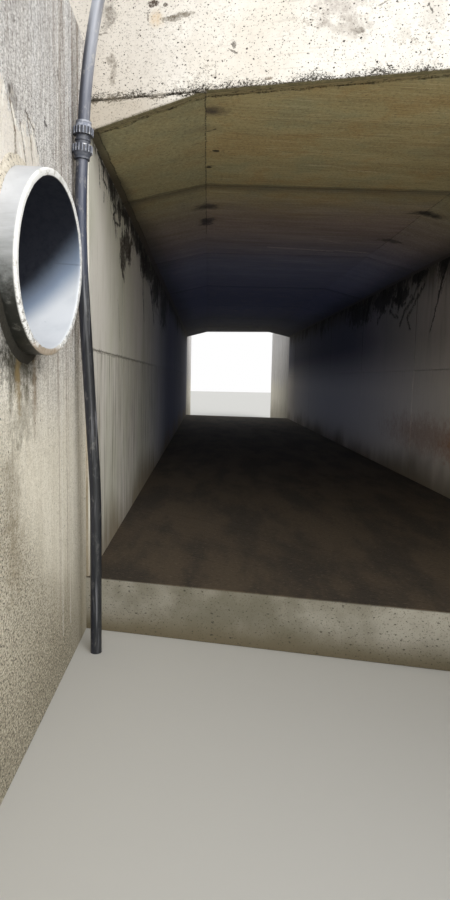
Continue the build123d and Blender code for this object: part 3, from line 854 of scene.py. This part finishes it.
for name in [f"{end}_{side}_wing_wall" for end in ("near", "far") for side in ("left", "right")]:
    finish, place = new_finish(name + "_concrete")
    x, y, z = axes(place)
    face = flat_place(y, z)
    skin = skin_on(place, face, 0.22)
    fine = grain(place, 66, 4, 0.8, (1, 1, 0.2))
    boards = grain(place, 9, 4, 0.6, (1, 1, 0.03))
    stripes = grain(place, 24, 3, 0.6, (1, 1, 0.02))
    speck = grain(place, 90, 2, 0.8, (1, 1, 2.6))
    clots = grain(place, 78, 3, 0.85, (1, 1, 1.7))
    rough = grain(place, 85, 3, 0.8, (1, 1, 1.6))
    by_corner = fade(y, -0.85, -0.5, 0.25, 0.8)
    low = grain(place, 1.3, 5, 0.6) * -0.6 + z
    # on the side that shows, the worn part reaches higher away from the portal
    climb = fade(x, -1.7, -1.6, 0.0, 0.9) if name == "near_left_wing_wall" else 0.0
    worn_low = fade(y * climb + low, -0.18, -0.78)
    colour = coats(
        tint(fade(skin["Mottle"], 0.36, 0.64), (214, 213, 214), (232, 231, 232)),
        ((176, 168, 161), fade(boards, 0.5, 0.66), 0.45),
        ((244, 240, 232), fade(z, 2.7, 1.9), 0.4),
        ((140, 126, 114), by_corner * fade(stripes, 0.52, 0.62)),
        ((250, 247, 242), by_corner * fade(stripes, 0.46, 0.36), 0.8),
        ((136, 127, 118), fade(fine, 0.52, 0.63), 0.62),
        ((252, 251, 248), fade(fine, 0.47, 0.36), 0.65),
        ((90, 84, 78), fade(clots, 0.53, 0.61), 0.62),
        ((255, 254, 251), fade(clots, 0.47, 0.39), 0.65),
        ((88, 82, 76), fade(speck, 0.56, 0.63), 0.7),
        ((238, 231, 210), fade(low, 1.35, 0.7), 0.6),
        ((130, 121, 98), fade(low, 0.6, -0.25), 0.62),
        ((128, 120, 99), worn_low, 0.5),
        ((66, 61, 50), worn_low * fade(rough, 0.52, 0.58), 0.85),
        ((226, 219, 200), worn_low * fade(rough, 0.46, 0.38), 0.6),
        ((72, 66, 58), skin["Holes"], 0.7),
    )
    if name == "near_left_wing_wall":
        colour = stains(place, colour, on_plane(0, wing_face, 0.15, wing_stains), 0.22)
        colour = lines(face, colour, wing_lines)
    ribs = fine * 3.0 + (boards * 3.0 + rough * 2.0)
    close_finish(finish, colour, 0.93, ribs + skin["Height"])
    dress(finish, name)


# ----------------------------------------
# Outlet pipe. A length of pale plastic sewer pipe, extruded, set through the left wing wall and
# sawn off square. The sawn lip is worn round, scuffed and chipped. Painted shade darkens the upper,
# deeper part of the bore above a slanting line, and the underside of the outside.
pipe_turn, pipe_fall = math.radians(7), math.radians(3.8)
pipe_lie = Matrix.Rotation(-pipe_turn, 4, "Z") @ Matrix.Rotation(pipe_fall, 4, "Y")
pipe_axis = (pipe_lie @ Vector((1, 0, 0))).normalized()
pipe_wall_point = Vector((wing_face, -1.13, 1.797))
pipe_outer, pipe_thick, pipe_reach = 0.315, 0.027, 0.11
pipe_tail = -(0.3 / pipe_axis.x + 0.06)
pipe_bore = pipe_outer - pipe_thick
worn_from, worn_depth = 0.06, 0.05


def turned(points, steps):
    """Turns a closed outline, places along an axis and radii, round that axis."""
    build = bmesh.new()
    corners = [build.verts.new((along, 0, radius)) for along, radius in points]
    outline = [build.edges.new(pair) for pair in zip(corners, corners[1:] + corners[:1])]
    bmesh.ops.spin(
        build, geom=corners + outline, cent=(0, 0, 0), axis=(1, 0, 0), dvec=(0, 0, 0),
        angle=math.tau, steps=steps, use_merge=True, use_duplicate=False,
    )
    return build


def finished_mesh(build, name, matrix):
    """Puts a built mesh in its place and returns it with its object."""
    bmesh.ops.recalc_face_normals(build, faces=build.faces)
    bmesh.ops.transform(build, verts=build.verts, matrix=Matrix.Translation(pipe_wall_point) @ matrix)
    mesh = bpy.data.meshes.new(name)
    build.to_mesh(mesh)
    build.free()
    mesh.shade_smooth()
    piece = bpy.data.objects.new(name, mesh)
    scene.collection.objects.link(piece)
    return mesh, piece


def about_axis(place, point, way):
    """A place's distance along an axis, its offset from the axis, and its radius."""
    off = vector("SUBTRACT", place, tuple(point))
    along = vector("DOT_PRODUCT", off, tuple(way))
    radial = vector("SUBTRACT", off, vector("SCALE", tuple(way), Scale=along))
    return along, radial, vector("LENGTH", radial)


pipe_build = turned((
    (pipe_tail, pipe_bore), (pipe_tail, pipe_outer),
    (pipe_reach, pipe_outer), (pipe_reach, pipe_bore),
), 180)
lip_edges = [
    edge for edge in pipe_build.edges
    if all(vert.co.x > pipe_reach - 0.0001 for vert in edge.verts)
    and abs(edge.verts[0].co.yz.length - edge.verts[1].co.yz.length) < 0.005
]
bmesh.ops.bevel(
    pipe_build, geom=lip_edges, offset=0.008, offset_type="OFFSET", segments=4, profile=0.5,
    affect="EDGES", material=-1,
)
for cut in (0.096, 0.088, 0.075, 0.05):
    bmesh.ops.bisect_plane(
        pipe_build, geom=pipe_build.verts[:] + pipe_build.edges[:] + pipe_build.faces[:],
        plane_co=(cut, 0, 0), plane_no=(1, 0, 0),
    )
for vert in pipe_build.verts:
    if vert.co.x < worn_from:
        continue
    round_way = Vector((0, vert.co.y, vert.co.z)).normalized()
    worn = 0.0012 * max(0.0, noise.noise(round_way * 9 + Vector((vert.co.x * 60, 0, 0))))
    at_bottom = max(0.0, -round_way.z - 0.55) / 0.45
    chipped = at_bottom * max(0.0, noise.noise(round_way * 23) - 0.05) * 0.012
    nibble = max(0.0, noise.noise(round_way * 31 + Vector((7, 0, 0))) - 0.35) * 0.006
    vert.co.x -= (worn + chipped + nibble) * max(0.0, (vert.co.x - worn_from) / worn_depth)
pipe_mesh, worn_pipe = finished_mesh(pipe_build, "outlet_pipe_worn", pipe_lie)
pipe_mesh.set_sharp_from_angle(angle=math.radians(40))

finish, place = new_finish("pale_pipe")
along, radial, radius = about_axis(place, pipe_wall_point, pipe_axis)
_, sideways, up = axes(radial)
scuff = grain(place, 30, 5, 0.75)
haze = grain(place, 4, 4, 0.6)
drawn = grain(place, 26, 4, 0.7, (0.15, 0.15, 1.0))
# outside: clean above; below, streaked with algae and darkened by painted shade, near black
# underneath
outside = coats(
    tint(fade(haze, 0.38, 0.62), (198, 201, 206), (212, 215, 220)),
    ((78, 82, 76), fade((drawn - 0.5) * 0.25 + up, 0.17, -0.16), 0.85),
    ((32, 32, 27), fade((scuff - 0.5) * 0.25 + up, -0.03, -0.17), 0.95),
    ((150, 154, 158), fade(abs(up - 0.007), 0.0035, 0.001), 0.35),
    ((150, 148, 140), fade(scuff, 0.58, 0.7), 0.35),
)
# bore: bright below a slanting line and near black above it with painted shade, with a band of
# painted bluish light at its edge and a painted reflection line
bore_shade_rise, bore_shade_height = -1.05, 0.12
bore_shade_edge = along * bore_shade_rise + (up - (bore_shade_height + bore_shade_rise * pipe_reach))
bore_shade_edge = (haze - 0.5) * 0.06 + bore_shade_edge
painted_bore_shade = fade(bore_shade_edge, -0.09, 0.095)
bore = coats(
    tint(fade(haze, 0.38, 0.62), (212, 217, 224), (226, 230, 236)),
    ((164, 170, 178), fade(scuff, 0.62, 0.72), 0.4),
    # painted bluish light along the edge of the shade
    ((116, 136, 164), fade(bore_shade_edge, -0.165, -0.035), 0.85),
    # painted shade over the upper, deeper bore
    ((5, 9, 24), painted_bore_shade, 0.99),
    # a painted reflection line across the bore
    ((70, 76, 88), fade(abs(up - 0.05), 0.004, 0.001) * fade(along, -0.01, 0.01), 0.35),
)
inner = fade(radius, pipe_bore + 0.007, pipe_bore + 0.002)
# lip: sawn white, scuffed at one side, with dirt in the bottom
lip_scratch = grain(place, 70, 4, 0.8)
lip = coats(
    tint(fade(scuff, 0.52, 0.62), (250, 251, 251), (214, 214, 210)),
    ((112, 108, 100), fade(up, -0.02, -0.2) * fade(lip_scratch, 0.5, 0.58), 0.75),
    ((170, 174, 178), fade(sideways, 0.1, 0.28) * fade(lip_scratch, 0.44, 0.56), 0.6),
    ((158, 138, 112), fade((scuff - 0.5) * 0.1 + up, -0.27, -0.292), 0.8),
)
on_lip = fade(along, pipe_reach - 0.012, pipe_reach - 0.005)
on_lip = on_lip * fade(radius, pipe_bore + 0.001, pipe_bore + 0.005)
colour = tint(on_lip, tint(inner, outside, bore), lip)
dullness = inner * painted_bore_shade * 0.5 + fade(scuff, 0.4, 0.7, 0.34, 0.5)
close_finish(finish, colour, dullness, scuff * 0.4)
pipe_mesh.materials.append(finish)
dress(finish, "outlet_pipe")
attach(worn_pipe, "root")
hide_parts("outlet_pipe")


# ----------------------------------------
# Outlet mortar. Cement mortar packed round the pipe by hand and feathered out over the wall with
# a trowel, so that it is lumpy and its outer edge is uneven. Cream above; below, dark with damp
# and with painted shade under the pipe.
mortar_back, sleeve_set_back, mortar_inner = 0.3, 0.01, 0.312
mortar_build = turned((
    (-mortar_back, 0.314), (-mortar_back, 0.3495), (-sleeve_set_back, 0.3495), (-0.001, 0.354),
    (0.0015, 0.349), (0.0035, 0.342), (0.0055, 0.334), (0.008, 0.326), (0.01, 0.318),
    (0.0105, mortar_inner),
), 150)
for vert in mortar_build.verts:
    radius = vert.co.yz.length
    if vert.co.x < -sleeve_set_back + 0.001 or radius < mortar_inner + 0.001:
        continue
    round_way = Vector((0, vert.co.y, vert.co.z)).normalized()
    uneven = noise.noise(round_way * 5) * 0.6 + noise.noise(round_way * 17) * 0.4
    outwards = (radius - mortar_inner) / 0.05
    vert.co += round_way * outwards * 0.009 * max(-0.35, uneven)
    vert.co.x += (1 - outwards) * 0.006 * uneven + 0.0012 * noise.noise(vert.co * 60)
lean = Matrix.Identity(4)
lean[1][0], lean[2][0] = pipe_axis.y / pipe_axis.x, pipe_axis.z / pipe_axis.x
mortar_mesh, trowelled_mortar = finished_mesh(mortar_build, "outlet_mortar_trowelled", lean)

finish, place = new_finish("mortar")
_, y, z = axes(place)
skin = skin_on(place, flat_place(y, z), 0.6)
clots = grain(place, 46, 5, 0.8)
colour = coats(
    tint(fade(skin["Mottle"], 0.4, 0.6), (196, 186, 168), (218, 209, 192)),
    ((96, 88, 74), fade(clots, 0.53, 0.62), 0.7),
    ((248, 243, 230), fade(clots, 0.46, 0.37), 0.5),
    # dark with damp and with painted shade under the pipe
    ((26, 25, 18), fade(skin["Mottle"] * 0.3 + z, 2.02, 1.8), 0.97),
    ((60, 52, 42), skin["Holes"], 0.7),
)
close_finish(finish, colour, 0.95, skin["Height"] * 2.0)
mortar_mesh.materials.append(finish)
dress(finish, "outlet_mortar_ring")
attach(trowelled_mortar, "root")
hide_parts("outlet_mortar_ring")


# ----------------------------------------
# Riser. Two lengths of black polyethylene pipe, extruded smooth, stood by the corner and joined
# with a moulded compression coupling. The pipe is lighter towards the top, part chalking and dust,
# part painted sky sheen, and painted shade darkens its sides and the coupling's ribs and undersides.
wall_side_shade_way, barrel_side_shade_way = (-0.83, -0.56, 0.0), (0.95, -0.3, 0.0)


def facing(finish, way):
    """How much a surface faces a way."""
    return vector("DOT_PRODUCT", output("NewGeometry", {}, "Normal", tree=finish.node_tree), way)


finish, place = new_finish("black_pipe")
_, _, z = axes(place)
draw = grain(place, 60, 3, 0.6, (1, 1, 0.04))
dust = grain(place, 26, 5, 0.75, (1, 1, 0.5))
# lighter and bluer towards the top: part dust and chalking, part painted sky sheen; darker towards
# the bottom
colour = tint(fade(z, 2.55, 3.2), (94, 98, 112), (178, 182, 192))
colour = tint(fade(z, 2.5, 2.2), colour, (64, 71, 90))
colour = coats(
    tint(fade(z, 2.05, 1.72), colour, (34, 36, 40)),
    ((176, 178, 186), fade(draw, 0.5, 0.7), 0.3),
    # painted shade on the side towards the wall
    ((30, 33, 46), fade(facing(finish, wall_side_shade_way), 0.55, 0.92) * fade(z, 3.15, 2.85), 0.85),
    # painted shade on the side towards the barrel near the top, leaving a lighter sheen down the
    # middle
    ((96, 96, 102), fade(facing(finish, barrel_side_shade_way), 0.5, 0.9) * fade(z, 2.9, 3.15), 0.7),
    ((206, 204, 198), fade(dust, 0.54, 0.7) * fade(z, 1.6, 2.9, 0.25, 1.0), 0.55),
)
close_finish(finish, colour, fade(dust, 0.4, 0.7, 0.34, 0.55), draw * 0.3)
dress(finish, "riser_lower_pipe", "riser_upper_pipe")

coupling_lean = math.radians(3)
coupling_way = (math.sin(coupling_lean), 0.0, math.cos(coupling_lean))
coupling_middle = (-1.4689, -0.306, 2.502)
chip_white = (238, 240, 244)
chips = [
    ((-1.452, -0.35, 2.48), (0.01, 0.02, 0.006), 0.8, 0.4, 0.95, chip_white),
    ((-1.428, -0.345, 2.476), (0.008, 0.02, 0.005), 0.8, 0.4, 0.95, chip_white),
]
finish, place = new_finish("black_coupling")
_, _, z = axes(place)
along, _, radius = about_axis(place, coupling_middle, coupling_way)
dust = grain(place, 60, 5, 0.75)
in_nut = fade(abs(abs(along) - 0.0395), 0.017, 0.016)
colour = coats(
    tint(fade(dust, 0.4, 0.7), (128, 134, 150), (194, 198, 208)),
    # painted shade in the valleys between the nuts' ribs
    ((30, 32, 40), in_nut * fade(radius, 0.0472, 0.0458), 0.85),
    ((44, 47, 56), fade(abs(along), 0.023, 0.0222), 0.75),
    # painted shadow on the cone under the lower nut
    ((42, 45, 54), fade(along, -0.057, -0.058), 0.7),
    # lighter top: part dust, part painted light
    ((190, 192, 198), fade(z, 2.56, 2.61), 0.35),
    ((216, 214, 206), fade(dust, 0.6, 0.68), 0.6),
    # painted shade on the side towards the wall
    ((34, 37, 50), fade(facing(finish, wall_side_shade_way), 0.7, 0.98), 0.7),
    # painted shade on faces that look down
    ((16, 17, 22), fade(facing(finish, (0.0, 0.0, 1.0)), -0.75, -0.95), 0.95),
)
colour = stains(place, colour, chips)
close_finish(finish, colour, fade(dust, 0.4, 0.7, 0.38, 0.6), dust * 0.4)
dress(finish, "riser_coupling_body", "riser_coupling_lower_nut", "riser_coupling_upper_nut")
